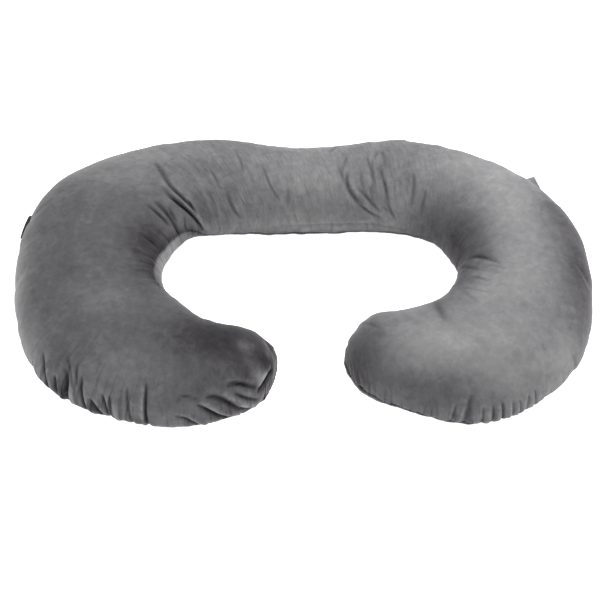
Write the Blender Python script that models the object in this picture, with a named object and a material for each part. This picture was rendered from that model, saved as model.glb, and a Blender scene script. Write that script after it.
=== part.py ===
"""A C-shaped body pillow in plush velour, lying on a flat surface.

Two C-shaped panels are sewn together round their edge and filled. The filled form is one closed
solid: rings of points go round it, one after another from the left tip, along the back, to the
right tip. Two blank woven tabs are caught in the outer seam.

Units are metres. +Z is up, +Y points to the long back of the C, and the C opens towards -Y. The
origin is on the surface that the pillow lies on, under the middle of its box.
"""

import bpy
import numpy as np

# ---- driving dimensions -------------------------------------------------------------------------

RINGS = 108  # rings along the pillow, the two tips left out
PANEL_POINTS = 21  # points across either panel, from one seam to the other
TIP_EASE = 0.04  # the share of the rings over which they close up towards a tip

TOP_FULLNESS = 2.2  # how full the top is between its seams: 2 is an ellipse, more is squarer
UNDER_FULLNESS = 1.9  # the same for the underside
UNDER_PRESS = 1.08  # over 1, the middle of the underside is pressed flat on the surface
SEAM_DRAW = 0.003  # how far the thread draws the seam in
FULL_WIDTH = 0.20  # a section at least this wide swells to its full height
TINY = 1e-9  # keeps the width of a tip off zero

TAB_THICKNESS = 0.0016  # a folded woven tape
TAB_STEPS = 4  # straight strips that make up the curve of a tab
GAP = 0.0004  # between the pillow and a tab that is sewn to it

VELOUR_COLOUR = (0.15, 0.15, 0.155)
TAPE_COLOUR = (0.10, 0.10, 0.105)
VELOUR_ROUGHNESS = 0.9
TAPE_ROUGHNESS = 0.8

# The sections of the pillow, from the left tip round to the right one.
#   outer x, y  where its widest line is on the outside of the C
#   inner x, y  where its widest line is on the inside of the C
#   crown       the height of the top
#   belly       the height of the widest line
#   outer_seam  how far the outer seam lies over the widest line, in degrees round the section
#   inner_seam  the same for the inner seam
SECTIONS = {
    "left tip": (-0.062, -0.210, -0.062, -0.210, 0.085, 0.058, -12, 0),
    "left nose": (-0.086, -0.293, -0.083, -0.168, 0.112, 0.060, -22, 0),
    "left end": (-0.138, -0.338, -0.122, -0.147, 0.147, 0.062, -24, 0),
    "left foot": (-0.250, -0.376, -0.206, -0.134, 0.178, 0.065, -24, 0),
    "left heel": (-0.395, -0.363, -0.272, -0.083, 0.185, 0.068, -24, 0),
    "left corner": (-0.560, -0.278, -0.308, -0.046, 0.188, 0.070, -22, 24),
    "left side": (-0.657, -0.040, -0.330, 0.022, 0.190, 0.075, -8, 23),
    "left arm": (-0.657, 0.137, -0.313, 0.088, 0.190, 0.078, 0, 13),
    "left shoulder": (-0.589, 0.283, -0.270, 0.147, 0.188, 0.080, 0, 4),
    "left bend": (-0.434, 0.375, -0.231, 0.161, 0.186, 0.080, 0, -20),
    "left back": (-0.215, 0.419, -0.150, 0.163, 0.180, 0.080, 0, -20),
    "waist": (0.000, 0.400, 0.000, 0.168, 0.165, 0.075, 0, -18),
    "right back": (0.212, 0.418, 0.185, 0.168, 0.178, 0.080, 0, -20),
    "right bend": (0.392, 0.372, 0.291, 0.139, 0.184, 0.080, 0, -18),
    "right shoulder": (0.541, 0.275, 0.323, 0.092, 0.186, 0.080, 0, -20),
    "right arm": (0.628, 0.149, 0.343, 0.055, 0.185, 0.078, 0, -20),
    "right side": (0.643, -0.060, 0.342, 0.006, 0.185, 0.075, -4, -20),
    "right corner": (0.592, -0.224, 0.314, -0.047, 0.184, 0.070, -16, -20),
    "right heel": (0.438, -0.354, 0.265, -0.080, 0.180, 0.068, -20, -20),
    "right foot": (0.334, -0.370, 0.200, -0.099, 0.172, 0.065, -16, -20),
    "right end": (0.206, -0.329, 0.136, -0.110, 0.155, 0.062, -14, -15),
    "right nose": (0.116, -0.276, 0.094, -0.158, 0.110, 0.060, -12, 0),
    "right tip": (0.083, -0.213, 0.083, -0.213, 0.083, 0.055, -8, 0),
}

# The main soft folds of the top.
#   from x, y, to x, y  where a fold runs, from the middle of the box
#   depth               how deep it is
#   half_width          how far from its line it is still felt
FOLDS = {
    "left bend": (-0.330, 0.215, -0.250, 0.138, 0.014, 0.018),
    "waist": (0.095, 0.285, 0.165, 0.160, 0.009, 0.022),
    "right bend": (0.350, 0.010, 0.430, -0.035, 0.010, 0.020),
    "right foot": (0.305, -0.105, 0.290, -0.175, 0.006, 0.022),
    "left end": (-0.200, -0.375, -0.125, -0.320, 0.010, 0.020),
    "left heel": (-0.330, -0.390, -0.330, -0.330, 0.009, 0.018),
    "left corner": (-0.500, -0.345, -0.465, -0.300, 0.008, 0.020),
}

# The tabs in the outer seam.
#   place               how far round the pillow it starts, as a share
#   low slope, high     its slope where it leaves the seam and at its free edge, in degrees
#   near side, far      how long its two sides are
#   near lean, far      how far their free ends are off to the side, along the seam
TABS = {
    "right_tab": (0.679, 45, 70, 0.023, 0.042, -0.007, -0.067),
    "left_tab": (0.282, 20, -20, 0.015, 0.021, -0.006, -0.006),
}


# ---- curves -------------------------------------------------------------------------------------


def spline_bend(knots, values, closed):
    """The second derivatives, at the knots, of the cubic spline through the values.

    A closed curve ends on its first value and goes on without a break. An open one has no bend
    at its ends.
    """
    step = np.diff(knots)
    slope = np.diff(values, axis=0) / step[:, None]
    count = len(knots)
    matrix = np.eye(count)
    right = np.zeros_like(values)
    for i in range(1, count - 1):
        matrix[i, i - 1 : i + 2] = step[i - 1], 2 * (step[i - 1] + step[i]), step[i]
        right[i] = 6 * (slope[i] - slope[i - 1])
    if closed:
        matrix[0, [0, 1, -2, -1]] = 2 * step[0], step[0], step[-1], 2 * step[-1]
        right[0] = 6 * (slope[0] - slope[-1])
        matrix[-1, [0, -1]] = 1, -1
    return np.linalg.solve(matrix, right)


def spline(knots, values, at, closed=False):
    """The cubic spline through the values at the knots, read at the points in at."""
    bend = spline_bend(knots, values, closed)
    i = np.clip(np.searchsorted(knots, at) - 1, 0, len(knots) - 2)
    h = (knots[i + 1] - knots[i])[:, None]
    a = (knots[i + 1] - at)[:, None]
    b = (at - knots[i])[:, None]
    return (
        (bend[i] * a**3 + bend[i + 1] * b**3) / (6 * h)
        + (values[i] / h - bend[i] * h / 6) * a
        + (values[i + 1] / h - bend[i + 1] * h / 6) * b
    )


def sections_at(share):
    """The outer point, the inner point and the other columns of SECTIONS at each share of the way.

    The outline is one closed curve, out along the outer points and back along the inner ones, so
    that both tips are round. Its outer point at a share faces its inner point at the same share.
    """
    table = np.array(list(SECTIONS.values()))
    outer, inner = table[:, 0:2], table[:, 2:4]
    gaps = sum(np.linalg.norm(np.diff(side, axis=0), axis=1) for side in (outer, inner))
    knots = np.concatenate([[0], np.cumsum(gaps)]) / gaps.sum()
    outline = np.concatenate([outer, inner[-2::-1]])
    round_knots = np.concatenate([knots, 2 - knots[-2::-1]])
    outline = outline - (outline.min(axis=0) + outline.max(axis=0)) / 2
    outer_at = spline(round_knots, outline, share, closed=True)
    inner_at = spline(round_knots, outline, 2 - share, closed=True)
    return outer_at, inner_at, spline(knots, table[:, 4:], share)


def power(value, exponent):
    """value to the exponent, with its sign kept."""
    return np.sign(value) * np.abs(value) ** exponent


def fold_depth(plan):
    """How far the folds lower the top at each point of the plan."""
    depth = np.zeros(plan.shape[:-1])
    for from_x, from_y, to_x, to_y, deepest, half_width in FOLDS.values():
        start, run = np.array([from_x, from_y]), np.array([to_x - from_x, to_y - from_y])
        along = np.clip((plan - start) @ run / (run @ run), 0, 1)
        off = np.linalg.norm(plan - start - along[..., None] * run, axis=-1)
        depth += deepest * np.exp(-((off / half_width) ** 2))
    return depth


def pillow_rings(share, panel_points):
    """Rings of points on the pillow, at each share of the way from tip to tip.

    A ring starts at the outer seam, crosses the top to the inner seam, and comes back underneath.
    It is a rounded section between its outer and inner points, with the underside pressed flat,
    the folds let into its top and the thread drawing both seams in.
    """
    outer, inner, heights = sections_at(share)
    crown, belly, outer_seam, inner_seam = (heights[:, [i]] for i in range(4))
    across = np.arange(panel_points) / panel_points
    start, turn, end = (np.radians(a) for a in (outer_seam, 180 - inner_seam, outer_seam + 360))
    angle = np.concatenate([start + (turn - start) * across, turn + (end - turn) * across], axis=1)
    width = np.maximum(np.linalg.norm(outer - inner, axis=1), TINY)[:, None]
    swell = np.sin(np.pi / 2 * np.minimum(width / FULL_WIDTH, 1))
    lift = np.sin(angle)
    top = power(lift, 2 / TOP_FULLNESS)
    under = np.minimum(UNDER_PRESS * power(-lift, 2 / UNDER_FULLNESS), 1)
    height = np.where(lift >= 0, belly + (crown - belly) * swell * top, belly * (1 - under * swell))
    full = np.where(lift >= 0, TOP_FULLNESS, UNDER_FULLNESS)
    reach = power(np.cos(angle), 2 / full)[:, :, None]
    plan = (outer + inner)[:, None] / 2 + (outer - inner)[:, None] / 2 * reach
    height -= fold_depth(plan) * np.maximum(lift, 0) * swell
    draw = (outer - inner) / width * swell * SEAM_DRAW
    plan[:, 0] -= draw
    plan[:, panel_points] += draw
    return np.concatenate([plan, height[:, :, None]], axis=2)


# ---- solids -------------------------------------------------------------------------------------


def mesh_object(name, points, faces, material):
    mesh = bpy.data.meshes.new(name)
    mesh.from_pydata([tuple(p) for p in points], [], faces)
    mesh.materials.append(material)
    obj = bpy.data.objects.new(name, mesh)
    bpy.context.scene.collection.objects.link(obj)
    return obj


def ring_shares(count):
    """count shares of the way, evenly spaced but closing up towards the tips."""
    even = np.arange(1, count + 1) / (count + 1)
    step = np.minimum(1, np.minimum(even, 1 - even) / TIP_EASE)
    share = np.cumsum(step) - step[0] / 2
    return share / (share[-1] + step[-1] / 2)


def pillow(material):
    rings = pillow_rings(ring_shares(RINGS), PANEL_POINTS)
    around = rings.shape[1]
    tips = pillow_rings(np.array([0.0, 1.0]), PANEL_POINTS)[:, 0]
    points = np.concatenate([rings.reshape(-1, 3), tips])
    faces = []
    for ring in range(RINGS - 1):
        for i in range(around):
            j = (i + 1) % around
            a = ring * around
            faces.append((a + i, a + j, a + around + j, a + around + i))
    first, last = len(points) - 2, len(points) - 1
    for i in range(around):
        j = (i + 1) % around
        faces.append((first, j, i))
        a = (RINGS - 1) * around
        faces.append((last, a + i, a + j))
    obj = mesh_object("pillow", points, faces, material)
    obj.data.shade_smooth()
    return obj


def tab(name, place, slopes, sides, leans, material):
    """A strip of tape that leaves the outer seam between three rings and curves as it goes."""
    share = ring_shares(RINGS)
    start = np.searchsorted(share, place)
    seam = pillow_rings(share[start : start + 3], PANEL_POINTS)[:, 0]
    along = (seam[2] - seam[0]) / np.linalg.norm(seam[2] - seam[0])
    outward = np.array([-along[1], along[0], 0])
    slope = np.radians(np.linspace(*slopes, TAB_STEPS))
    out = np.concatenate([[0], np.cumsum(np.cos(slope))]) / TAB_STEPS
    rise = np.concatenate([[0], np.cumsum(np.sin(slope))]) / TAB_STEPS
    side = np.linspace(*sides, len(seam))[:, None]
    lean = np.linspace(*leans, len(seam))[:, None]
    root = seam + outward * (GAP + TAB_THICKNESS / 2)
    rows = [
        root + side * (outward * o + np.array([0, 0, r])) + along * lean * step / TAB_STEPS
        for step, (o, r) in enumerate(zip(out, rise))
    ]
    wide = len(seam)
    faces = [
        (a, a + 1, a + wide + 1, a + wide)
        for step in range(TAB_STEPS)
        for a in range(step * wide, step * wide + wide - 1)
    ]
    obj = mesh_object(name, np.concatenate(rows), faces, material)
    solid = obj.modifiers.new("thickness", "SOLIDIFY")
    solid.thickness = TAB_THICKNESS
    solid.offset = 0
    return obj


def cloth_material(name, colour, roughness):
    material = bpy.data.materials.new(name)
    material.use_nodes = True
    shader = material.node_tree.nodes["Principled BSDF"]
    shader.inputs["Base Color"].default_value = (*colour, 1)
    shader.inputs["Roughness"].default_value = roughness
    return material


def main():
    for obj in list(bpy.data.objects):
        bpy.data.objects.remove(obj)
    velour = cloth_material("grey velour", VELOUR_COLOUR, VELOUR_ROUGHNESS)
    tape = cloth_material("grey woven tape", TAPE_COLOUR, TAPE_ROUGHNESS)
    pillow(velour)
    for name, sizes in TABS.items():
        tab(name, sizes[0], sizes[1:3], sizes[3:5], sizes[5:], tape)


main()
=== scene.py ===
"""A C-shaped body pillow in grey crystal velvet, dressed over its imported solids.

The cover is two C-shaped panels sewn together round their edge, blown up by the filling in a
cloth simulation, with the creases and gathers let into it afterwards. Two blank tapes of woven
ribbon are caught in the outer seam.

Units are metres. +Z is up, +Y points to the long back of the C, and the C opens towards -Y.
"""

import bpy
import numpy as np
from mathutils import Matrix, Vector


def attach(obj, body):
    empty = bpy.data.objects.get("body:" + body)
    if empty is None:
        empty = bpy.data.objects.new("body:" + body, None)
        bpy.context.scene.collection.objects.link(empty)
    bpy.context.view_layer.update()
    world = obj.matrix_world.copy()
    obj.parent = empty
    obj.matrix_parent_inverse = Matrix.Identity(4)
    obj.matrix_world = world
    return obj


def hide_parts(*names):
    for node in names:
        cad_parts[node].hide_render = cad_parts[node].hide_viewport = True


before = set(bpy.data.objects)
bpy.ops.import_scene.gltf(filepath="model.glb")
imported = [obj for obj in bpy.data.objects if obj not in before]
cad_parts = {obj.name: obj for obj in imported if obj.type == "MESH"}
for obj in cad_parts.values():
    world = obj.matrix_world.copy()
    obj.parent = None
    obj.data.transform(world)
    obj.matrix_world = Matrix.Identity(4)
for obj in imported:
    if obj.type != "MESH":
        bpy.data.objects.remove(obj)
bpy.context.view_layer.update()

# ---- sizes of the cover -------------------------------------------------------------------------

RINGS = 440  # sections sewn up for the simulation, doubled afterwards
TOP_STEPS = 36  # steps across the top panel, doubled afterwards
UNDER_STEPS = 20  # steps across the panel underneath, doubled afterwards
TIP_EASE = 0.04  # the share of the way over which the sections close up towards a tip
SEAM_CROWD = 0.40  # how much closer the steps are at the seams than half way
END_CROWD = 0.35  # how much closer the sections are on the two ends than on the back

TOP_FULLNESS = 2.2  # how full the top is between its seams: 2 is an ellipse, more is squarer
UNDER_FULLNESS = 1.9  # the same for the underside
UNDER_PRESS = 1.08  # over 1, the middle of the underside is pressed flat on the surface
FULL_WIDTH = 0.20  # a section at least this wide swells to its full height
TINY = 1e-9  # keeps a width or a length that is divided by off zero

OUTER_DRAW = 0.0032  # how far the thread draws the outer seam in
INNER_DRAW = 0.0018  # the same for the inner seam
SEAM_REACH = 0.0055  # how far from the thread the cloth turns in towards it

# The sections of the pillow, from the left tip round to the right one, as in its solids.
#   outer x, y  where its widest line is on the outside of the C
#   inner x, y  where its widest line is on the inside of the C
#   crown       the height of the top
#   belly       the height of the widest line
#   outer_seam  how far the outer seam lies over the widest line, in degrees round the section
#   inner_seam  the same for the inner seam
SECTIONS = {
    "left tip": (-0.062, -0.210, -0.062, -0.210, 0.085, 0.058, -12, 0),
    "left nose": (-0.086, -0.293, -0.083, -0.168, 0.112, 0.060, -22, 0),
    "left end": (-0.138, -0.338, -0.122, -0.147, 0.147, 0.062, -24, 0),
    "left foot": (-0.250, -0.376, -0.206, -0.134, 0.178, 0.065, -24, 0),
    "left heel": (-0.395, -0.363, -0.272, -0.083, 0.185, 0.068, -24, 0),
    "left corner": (-0.560, -0.278, -0.308, -0.046, 0.188, 0.070, -22, 24),
    "left side": (-0.657, -0.040, -0.330, 0.022, 0.190, 0.075, -8, 23),
    "left arm": (-0.657, 0.137, -0.313, 0.088, 0.190, 0.078, 0, 13),
    "left shoulder": (-0.589, 0.283, -0.270, 0.147, 0.188, 0.080, 0, 4),
    "left bend": (-0.434, 0.375, -0.231, 0.161, 0.186, 0.080, 0, -20),
    "left back": (-0.215, 0.419, -0.150, 0.163, 0.180, 0.080, 0, -20),
    "waist": (0.000, 0.400, 0.000, 0.168, 0.165, 0.075, 0, -18),
    "right back": (0.212, 0.418, 0.185, 0.168, 0.178, 0.080, 0, -20),
    "right bend": (0.392, 0.372, 0.291, 0.139, 0.184, 0.080, 0, -18),
    "right shoulder": (0.541, 0.275, 0.323, 0.092, 0.186, 0.080, 0, -20),
    "right arm": (0.628, 0.149, 0.343, 0.055, 0.185, 0.078, 0, -20),
    "right side": (0.643, -0.060, 0.342, 0.006, 0.185, 0.075, -4, -20),
    "right corner": (0.592, -0.224, 0.314, -0.047, 0.184, 0.070, -16, -20),
    "right heel": (0.438, -0.354, 0.265, -0.080, 0.180, 0.068, -20, -20),
    "right foot": (0.334, -0.370, 0.200, -0.099, 0.172, 0.065, -16, -20),
    "right end": (0.206, -0.329, 0.136, -0.110, 0.155, 0.062, -14, -15),
    "right nose": (0.116, -0.276, 0.094, -0.158, 0.110, 0.060, -12, 0),
    "right tip": (0.083, -0.213, 0.083, -0.213, 0.083, 0.055, -8, 0),
}

# ---- the filling --------------------------------------------------------------------------------

FRAMES = 24  # steps of the simulation
PRESSURE = 4.0  # of the filling on the cover
LARGER = 0.11  # how much larger than the form the cloth is cut where it is fully gathered
SEAM_HOLD = 1.0  # how firmly the thread keeps the seams in place
CLOTH_HOLD = 0.03  # and how firmly the filling keeps the rest
FIRST_RIPPLE = 0.0012  # how deep the ripples are that the simulation starts from
RIPPLE_STEP = 3.0  # how many sections a ripple is wide at first
RIPPLE_CAP = 0.009  # the most that a ripple may stand off the smooth form
SMOOTH_RINGS = 9  # the ripples are what the cloth has over its mean within so many sections
TIP_RINGS = 12  # the ripples ease out over so many sections at a tip
CUT_LEVELS = 20  # in so many levels the cloth is cut larger
SEED = 7

OUTER_RIPPLE = 0.05  # how far over the cloth the first ripples run from the outer seam
INNER_REACH = 0.04  # how far the gathers and the first ripples run from the inner seam
MEETING = 0.015  # half way between the seams the gathers die out within this

# How full the cloth is gathered round the pillow.
#   share        of the way from tip to tip
#   outer_full   how full it is along the outer seam, from 0 to 1
#   outer_reach  how far over the cloth those gathers run, in millimetres
#   inner_full   how full it is along the inner seam
GATHERS = [
    (0.00, 0.50, 25, 0.30),
    (0.03, 0.80, 40, 0.20),
    (0.09, 0.60, 40, 0.10),
    (0.12, 0.90, 60, 0.10),
    (0.18, 1.00, 60, 0.20),
    (0.22, 0.35, 40, 0.35),
    (0.30, 0.15, 30, 0.30),
    (0.38, 0.30, 30, 0.25),
    (0.45, 0.40, 40, 0.20),
    (0.60, 0.40, 40, 0.20),
    (0.70, 0.20, 30, 0.30),
    (0.78, 0.20, 25, 0.30),
    (0.83, 0.55, 25, 0.25),
    (0.88, 0.90, 30, 0.20),
    (0.94, 0.60, 30, 0.20),
    (1.00, 0.60, 20, 0.30),
]

# The even puckers that the thread leaves along the outer seam, as rows of
#   from, to share  where along the pillow they run
#   period          how far apart they are, in millimetres
#   depth, reach    how deep they are, and how far over the cloth they run, in millimetres
PUCKERS = [
    (0.00, 0.03, 14, 1.6, 18),
    (0.845, 0.90, 20, 2.5, 18),
    (0.91, 1.00, 8, 1.6, 9),
    (0.93, 1.00, 19, 0.8, 26),
    (0.965, 1.00, 30, 2.4, 16),
]
PUCKER_FADE = 0.008  # the share of the way over which a row of them fades out
PUCKER_DRIFT = 2.2  # how unevenly they are spaced, in radians
DRIFT_STEP = 12  # over how many sections their spacing changes
PUCKER_SHADE = 0.38  # how dark the painted shade in the deepest part of a pucker is
FULL_PUCKER = 2.0  # how deep it is then, in millimetres
SEAM_SHADE = 0.45  # how dark the painted shade is right at the thread
INSIDE_SHADE = 0.45  # how dark the painted shade is on the top all along the inner seam
INSIDE_REACH = 0.016  # and how far from that seam

# ---- the creases --------------------------------------------------------------------------------

# The creases at each place on the pillow. Each is a curve on the top through three points. A
# point is its share of the way from tip to tip, and its share of the way across, from the widest
# line on the outside of the C to the inner seam. Under 0 there, a crease runs on over the widest
# line at its full depth. Then come
#   depth       how deep it is, in millimetres
#   half_width  how far from its line it is still felt, in millimetres
#   lip         how high the cloth stands beside it, in millimetres, on its left going along it
CREASES = {
    "left bend": [
        (0.374, 0.43, 0.368, 0.50, 0.359, 0.62, 4.5, 5, 0),
        (0.364, 0.55, 0.358, 0.67, 0.361, 0.81, 4.0, 3.5, 1),
        (0.351, 0.61, 0.346, 0.70, 0.344, 0.82, 3.0, 6, 0),
        (0.346, 0.68, 0.349, 0.83, 0.366, 0.94, 7.5, 4, 2.5),
        (0.364, 0.71, 0.362, 0.75, 0.359, 0.82, 3.0, 3, 0),
        (0.317, 0.70, 0.312, 0.80, 0.308, 0.90, 3.5, 4, 0),
        (0.326, 0.71, 0.319, 0.84, 0.311, 0.99, 5.5, 5.5, 0),
        (0.330, 0.78, 0.324, 0.84, 0.321, 0.90, 3.0, 4, 0),
        (0.277, 0.79, 0.272, 0.88, 0.270, 0.96, 2.0, 5, 0),
        (0.335, 0.87, 0.330, 0.93, 0.324, 0.99, 2.0, 3, 0),
    ],
    "back": [
        (0.467, 0.47, 0.473, 0.60, 0.482, 0.70, 1.8, 3, 0.5),
        (0.414, 0.50, 0.416, 0.54, 0.417, 0.60, 1.5, 3, 0),
        (0.424, 0.63, 0.427, 0.75, 0.437, 0.82, 2.2, 4, 0.5),
        (0.444, 0.38, 0.447, 0.45, 0.447, 0.53, 1.5, 3.5, 0),
    ],
    "waist": [
        (0.546, 0.51, 0.548, 0.63, 0.562, 0.73, 5.0, 5, 1),
        (0.557, 0.62, 0.567, 0.70, 0.579, 0.79, 3.2, 4, 1),
        (0.551, 0.68, 0.565, 0.77, 0.581, 0.84, 2.6, 3.5, 1.5),
        (0.537, 0.45, 0.540, 0.52, 0.543, 0.59, 2.4, 5, 0),
        (0.562, 0.41, 0.568, 0.52, 0.571, 0.63, 2.6, 4.5, 0.5),
        (0.575, 0.49, 0.581, 0.60, 0.587, 0.75, 3.0, 4, 1),
        (0.584, 0.71, 0.589, 0.77, 0.596, 0.84, 2.2, 3.5, 0.5),
        (0.559, 0.51, 0.560, 0.60, 0.567, 0.70, 1.6, 4, 0),
        (0.567, 0.60, 0.570, 0.69, 0.575, 0.77, 1.8, 4, 0),
        (0.581, 0.75, 0.587, 0.78, 0.593, 0.81, 1.6, 3, 0),
        (0.567, 0.48, 0.575, 0.39, 0.581, 0.50, 2.0, 4, 0),
        (0.546, 0.40, 0.543, 0.45, 0.540, 0.50, 2.0, 4, 0),
        (0.529, 0.34, 0.532, 0.28, 0.536, 0.22, 3.0, 5, 0),
        (0.491, 0.60, 0.490, 0.66, 0.490, 0.74, 1.8, 5, 0),
    ],
    "inner edge of the back": [
        (0.470, 0.90, 0.546, 0.88, 0.612, 0.92, 1.2, 4, 0),
    ],
    "right back": [
        (0.607, 0.53, 0.610, 0.62, 0.610, 0.75, 2.4, 4, 0.5),
        (0.623, 0.62, 0.623, 0.70, 0.624, 0.80, 1.8, 4, 0.5),
    ],
    "right bend": [
        (0.783, 0.55, 0.771, 0.64, 0.760, 0.72, 3.5, 5, 1.5),
        (0.789, 0.53, 0.786, 0.57, 0.784, 0.61, 1.2, 4, 0.5),
        (0.766, 0.82, 0.782, 0.72, 0.793, 0.64, 1.8, 4.5, 1),
        (0.802, 0.67, 0.806, 0.62, 0.809, 0.58, 1.4, 3, 0.8),
        (0.826, 0.68, 0.827, 0.59, 0.822, 0.52, 0.8, 5, 0.5),
        (0.835, 0.66, 0.841, 0.59, 0.844, 0.54, 1.2, 5, 0.5),
    ],
    "right heel": [
        (0.872, 0.70, 0.879, 0.60, 0.883, 0.53, 4.5, 9, 0),
    ],
    "left corner": [
        (0.185, 0.20, 0.180, 0.12, 0.173, -0.10, 7.0, 5, 2),
        (0.172, 0.12, 0.170, 0.08, 0.167, -0.10, 6.0, 3.5, 2),
        (0.168, 0.20, 0.163, 0.12, 0.164, -0.10, 11.0, 6, 3),
        (0.170, 0.28, 0.163, 0.20, 0.158, 0.10, 3.5, 4, 1),
        (0.162, 0.27, 0.159, 0.20, 0.157, 0.14, 3.0, 3.5, 1),
        (0.155, 0.20, 0.154, 0.12, 0.149, -0.10, 8.0, 4, 2.5),
    ],
    "left heel": [
        (0.149, 0.08, 0.145, 0.03, 0.138, -0.10, 8.0, 5, 2.5),
        (0.143, 0.13, 0.140, 0.08, 0.137, -0.10, 6.0, 4, 2),
        (0.138, 0.13, 0.137, 0.08, 0.135, -0.10, 5.0, 4, 1.5),
        (0.129, 0.20, 0.127, 0.13, 0.124, -0.10, 4.0, 4, 1),
        (0.115, -0.10, 0.116, 0.15, 0.118, 0.25, 8.0, 3.5, 3),
    ],
    "left foot": [
        (0.075, 0.18, 0.060, 0.13, 0.042, -0.10, 8.0, 6, 3),
        (0.060, 0.24, 0.049, 0.24, 0.032, 0.15, 5.0, 5, 2),
        (0.081, 0.14, 0.070, 0.06, 0.054, -0.10, 10.0, 5, 4),
        (0.054, 0.18, 0.045, 0.11, 0.034, 0.01, 5.0, 5, 2),
    ],
    "left nose": [
        (0.035, 0.10, 0.026, 0.23, 0.019, 0.33, 8.0, 4.5, 4),
        (0.031, 0.75, 0.024, 0.70, 0.010, 0.48, 3.0, 10, 0),
    ],
    "outer edge of the left foot": [
        (0.096, 0.06, 0.086, 0.02, 0.078, -0.10, 7.0, 4, 3),
        (0.095, 0.15, 0.090, 0.20, 0.078, 0.16, 2.0, 4, 0),
    ],
    "right foot": [
        (0.905, -0.10, 0.901, 0.11, 0.895, 0.17, 5.5, 8, 0),
        (0.907, -0.10, 0.904, 0.07, 0.897, 0.18, 0.5, 2.2, 2.8),
        (0.905, 0.03, 0.903, 0.08, 0.898, 0.10, 1.0, 2.2, 1.6),
        (0.914, -0.10, 0.911, 0.06, 0.908, 0.12, 2.0, 3, 1.5),
        (0.892, -0.10, 0.892, 0.04, 0.891, 0.10, 3.0, 3.5, 2),
        (0.885, -0.10, 0.885, 0.04, 0.884, 0.10, 3.0, 3.5, 2),
    ],
    "right corner": [
        (0.878, -0.10, 0.878, 0.05, 0.878, 0.11, 5.0, 4, 2.2),
        (0.871, -0.10, 0.871, 0.05, 0.871, 0.09, 3.5, 3.2, 2.2),
        (0.866, -0.10, 0.866, 0.04, 0.867, 0.08, 2.5, 3, 2),
        (0.862, -0.10, 0.861, 0.04, 0.860, 0.08, 3.5, 3, 1.5),
        (0.855, -0.10, 0.856, 0.05, 0.856, 0.09, 3.0, 3.5, 2),
    ],
    "right side": [
        (0.838, 0.27, 0.839, 0.25, 0.840, 0.23, 2.0, 5, 0),
        (0.825, 0.12, 0.825, 0.08, 0.824, -0.10, 2.0, 5, 0),
    ],
    "right nose": [
        (0.955, 0.72, 0.950, 0.62, 0.944, 0.54, 1.5, 5, 0),
    ],
}
CREASE_STEPS = 25  # points along a crease
CREASE_REACH = 4  # a crease isn't felt past so many half-widths
LIP_AWAY = 2  # how far its lip is from its line, in half-widths
LIP_WIDTH = 1.2  # how wide the lip is, in half-widths
FULL_FOLD = 1.6  # a crease this many times as deep as its half-width gets the full painted shade inside
FOLD_CORE = 0.8  # the share of a crease's half-width that gets painted shade
LIT_LIP = 0.008  # how high a crease's lip is when it gets the full painted highlight

# ---- the tabs -----------------------------------------------------------------------------------

# Each tab is a blank tape folded double, with both ends caught in the outer seam.
#   place       the share of the way where its middle is
#   low, high   how steeply it stands at the seam and at its fold, in degrees
#   near, far   how far its fold is from the seam at its two edges, in metres
#   near, far   how far its fold is shifted along the seam at its two edges, in metres
TABS = {
    "right_tab": (0.6947, 45, 70, 0.0223, 0.0444, -0.0235, -0.0815),
    "left_tab": (0.2983, 20, -20, 0.015, 0.021, -0.006, -0.006),
}
TAB_REACH = 0.0096  # half of its width, as a share of the way
TAB_TUCK = 0.004  # how deep it goes into the seam
TAB_LOOP = 0.0009  # half of the gap between its two layers
TAPE_THICKNESS = 0.0007
TAB_STEPS = 25  # points across a tab
RUN_STEPS = 65  # points along its tape, out and back
FOLD_TURN = 6  # how sharply the tape turns at its fold
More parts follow.
